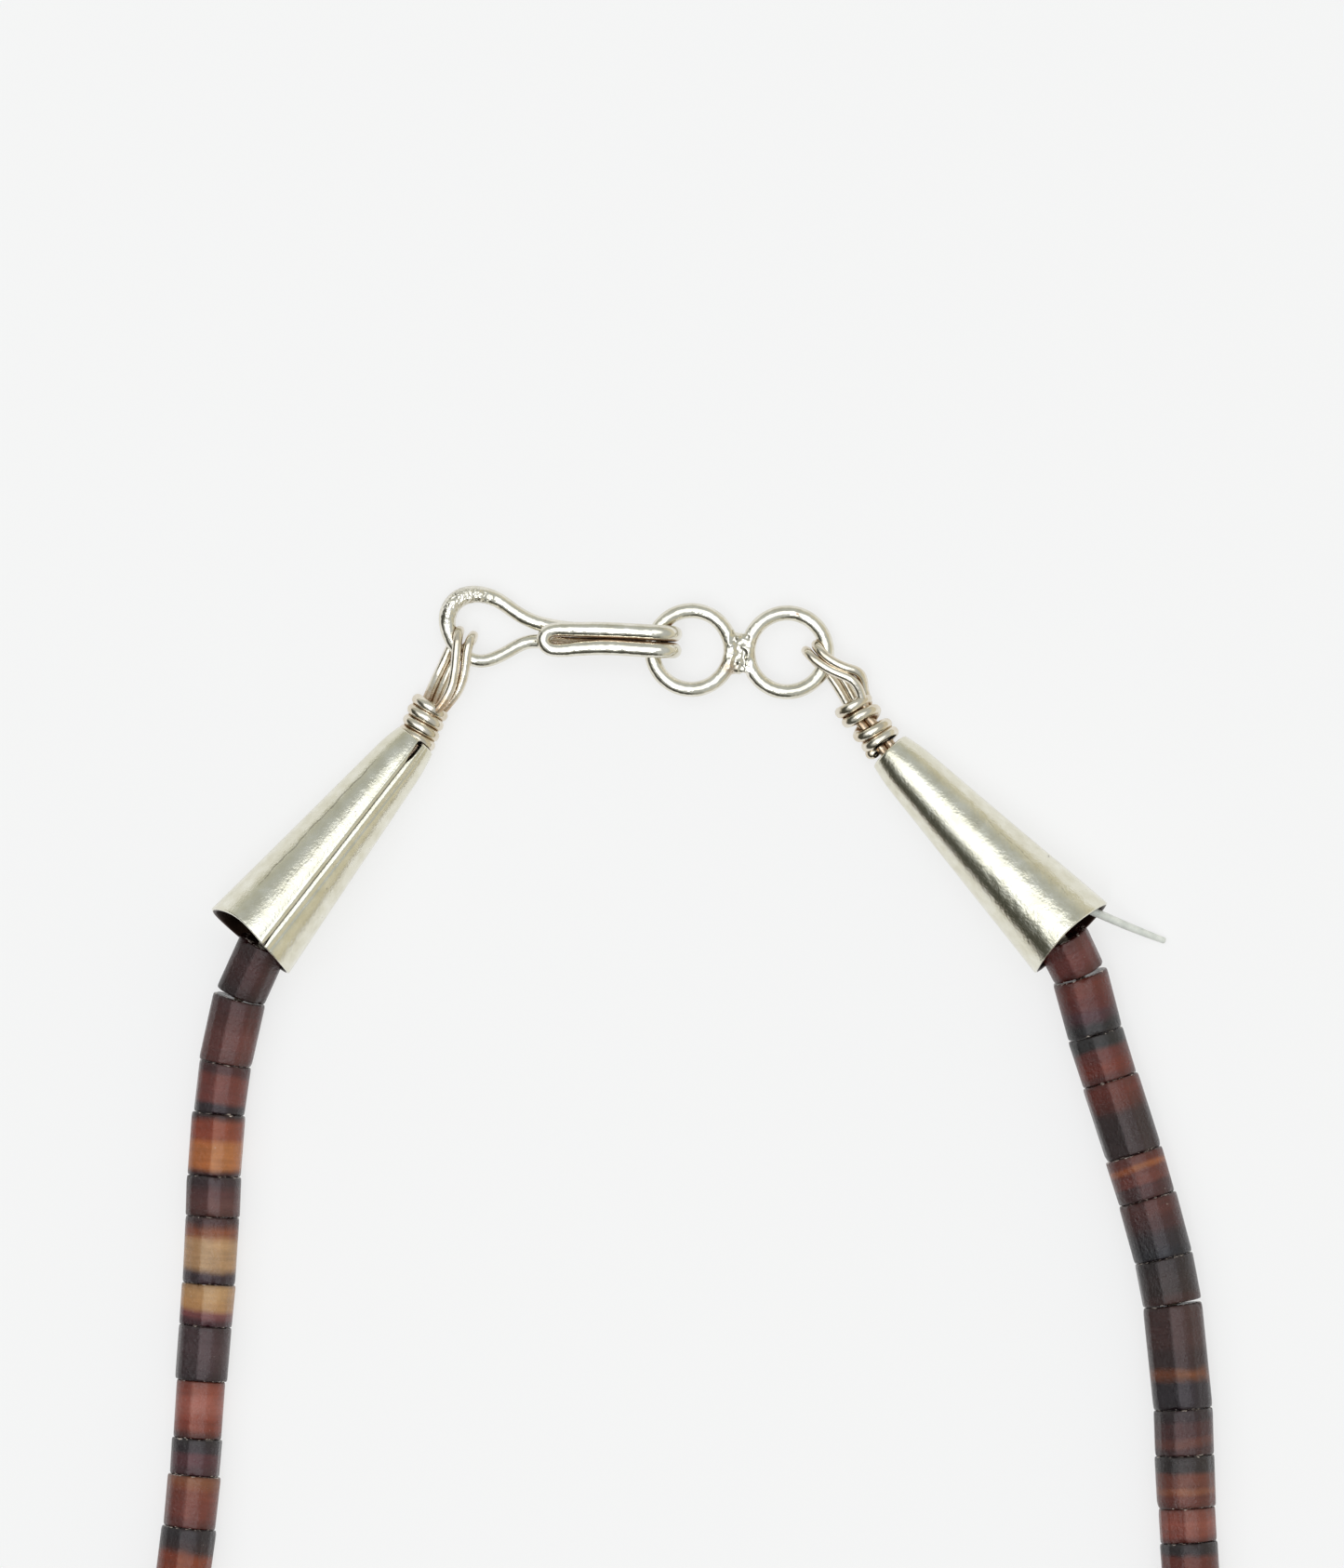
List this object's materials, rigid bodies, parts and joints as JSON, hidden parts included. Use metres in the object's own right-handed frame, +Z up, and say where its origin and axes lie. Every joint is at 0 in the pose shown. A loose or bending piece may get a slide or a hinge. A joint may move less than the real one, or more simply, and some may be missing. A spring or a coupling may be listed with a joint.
{
  "type": "shell bead necklace",
  "caption": "A strung necklace of banded dark shell tube beads with rolled silver cone ends, wire-wrapped loops, and a hook held in a soldered pair of rings, lying flat and closed.",
  "frame": {"origin": "middle of the bottom of the bounding box of the whole necklace as it lies flat", "axes": "+Y towards the closure, +X to the right seen from above, +Z up from the surface"},
  "size_m": [0.0896, 0.2636, 0.0075],
  "materials": {
    "silver": "polished sterling silver wire and sheet, warm tarnish in the crevices",
    "shell": "ground and polished dark shell, banded plum, rust and amber",
    "thread": "cream cotton strands",
    "tail": "pale translucent filament"
  },
  "bodies": {
    "root": {"hook": "silver", "double_ring": "silver", "left_wire_loop": "silver", "right_wire_loop": "silver", "left_cone": "silver", "right_cone": "silver", "left_beads": "shell", "right_beads": "shell", "thread": "thread", "thread_tail": "tail"}
  },
  "joints": []
}
